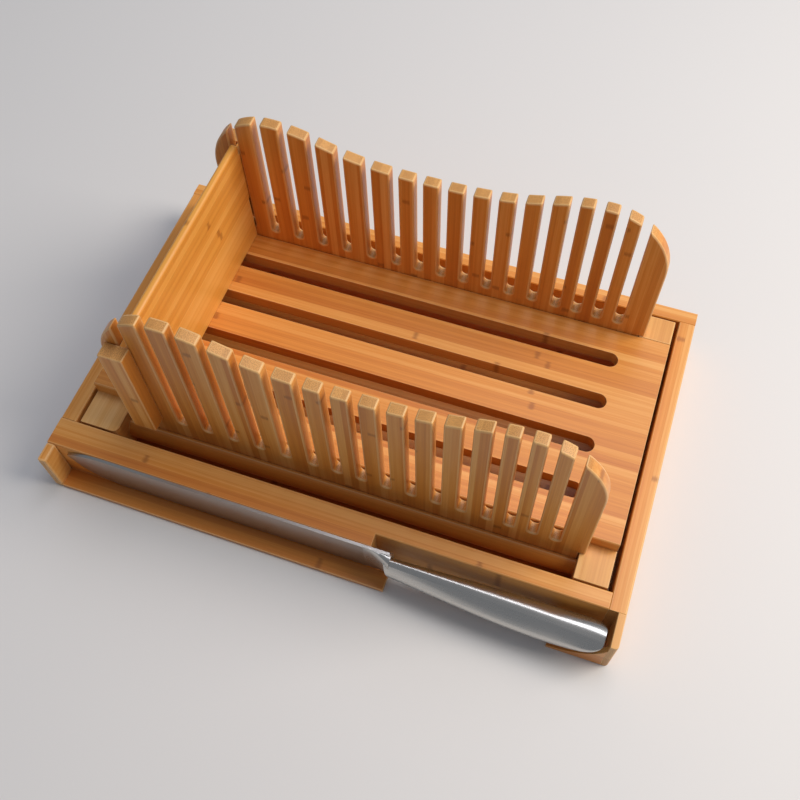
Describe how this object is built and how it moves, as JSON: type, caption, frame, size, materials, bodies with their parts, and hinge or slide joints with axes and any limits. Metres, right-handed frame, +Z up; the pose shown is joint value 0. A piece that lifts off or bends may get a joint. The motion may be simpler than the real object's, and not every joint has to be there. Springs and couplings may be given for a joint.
{
  "type": "bread slicer guide",
  "caption": "Bamboo bread slicing guide: a crumb tray with a knife bay, a lift-out slotted board, two slotted fences, an end board and a bread knife.",
  "frame": {"origin": "middle of the underside of the whole plan, on the table", "axes": "+X along the knife from its tip to the butt of its handle, +Y from the knife bay to the rear rail, +Z up"},
  "size_m": [0.358, 0.2346, 0.1495],
  "materials": {
    "bamboo": "satin lacquer",
    "bamboo_pale": "satin lacquer",
    "bamboo_panel": "satin lacquer",
    "dowel_wood": "plain turned",
    "blade_steel": "brushed",
    "handle_steel": "satin brushed"
  },
  "bodies": {
    "tray": {"rear_rail": "bamboo", "left_wall": "bamboo", "right_wall": "bamboo", "front_rail": "bamboo", "tray_floor": "bamboo_panel", "corner_dowels": "dowel_wood", "knife_guard": "bamboo", "slot_end_block": "bamboo_pale", "knife_slot_floor": "bamboo", "pocket_lip": "bamboo", "pocket_end": "bamboo_pale", "pocket_floor": "bamboo"},
    "platform": {"slotted_board": "bamboo", "left_runner": "bamboo_pale", "right_runner": "bamboo_pale", "rear_left_cap": "bamboo_pale", "rear_right_cap": "bamboo_pale", "front_fence_socket": "bamboo", "rear_fence_socket": "bamboo", "board_dowels": "dowel_wood"},
    "front_fence": {"front_fence": "bamboo"},
    "rear_fence": {"rear_fence": "bamboo"},
    "end_board": {"end_plate": "bamboo", "front_post": "bamboo", "rear_post": "bamboo"},
    "knife": {"knife_blade": "blade_steel", "knife_bolster": "handle_steel", "knife_handle": "handle_steel"}
  },
  "joints": [
    {"name": "platform_lift", "type": "slide", "parent": "tray", "child": "platform", "axis": [0, 0, 1], "range_m": [0, 0.06]},
    {"name": "front_fence_lift", "type": "slide", "parent": "platform", "child": "front_fence", "axis": [0, 0, 1], "range_m": [0, 0.025]},
    {"name": "rear_fence_lift", "type": "slide", "parent": "platform", "child": "rear_fence", "axis": [0, 0, 1], "range_m": [0, 0.025]},
    {"name": "end_board_lift", "type": "slide", "parent": "platform", "child": "end_board", "axis": [0, 0, 1], "range_m": [0, 0.11]},
    {"name": "knife_lift", "type": "slide", "parent": "tray", "child": "knife", "axis": [0, 0, 1], "range_m": [0, 0.06]}
  ]
}
